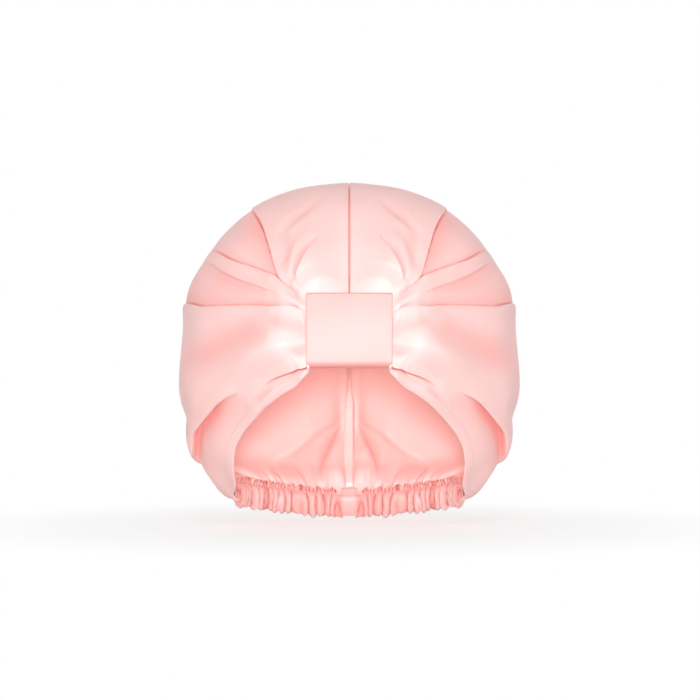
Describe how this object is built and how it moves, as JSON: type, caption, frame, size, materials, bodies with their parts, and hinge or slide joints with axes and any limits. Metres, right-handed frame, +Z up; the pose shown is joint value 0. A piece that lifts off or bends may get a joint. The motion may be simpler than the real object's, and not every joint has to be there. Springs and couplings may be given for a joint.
{
  "type": "satin hair bonnet",
  "caption": "Turban-style satin hair bonnet: pleated crown panels drawn into a folded front band, open at the face, with a gathered elastic casing at the nape that stretches over the head.",
  "frame": {"origin": "on the wearer's upright head axis, level with the lowest point of the nape casing", "axes": "+Z up through the crown, -Y out of the face opening and the band's front, +X to the wearer's left, x = 0 on the centre seam"},
  "size_m": [0.2454, 0.231, 0.2405],
  "materials": {
    "satin": "polyester satin, soft sheen",
    "satin_band": "polyester satin, folded double and pressed",
    "satin_trim": "polyester satin, turned and topstitched",
    "satin_casing": "polyester satin, gathered on elastic",
    "elastic": "woven polyester and rubber elastic, matt",
    "thread": "polyester sewing thread"
  },
  "bodies": {
    "cap": {"left_crown_panel": "satin", "right_crown_panel": "satin", "centre_seam_binding": "satin_trim", "front_band": "satin_band", "left_brim_facing": "satin_trim", "right_brim_facing": "satin_trim"},
    "nape": {"left_nape_casing": "satin_casing", "right_nape_casing": "satin_casing", "nape_join_tab": "satin_casing", "nape_elastic": "elastic", "left_elastic_tack": "thread", "right_elastic_tack": "thread"}
  },
  "joints": [
    {"name": "nape_stretch", "type": "hinge", "parent": "cap", "child": "nape", "pos_m": [0, 0.0243, 0.02], "axis": [-1, 0, 0], "range_deg": [0, 25], "stiffness_Nm_per_rad": 0.15, "springref_deg": -17.19}
  ]
}
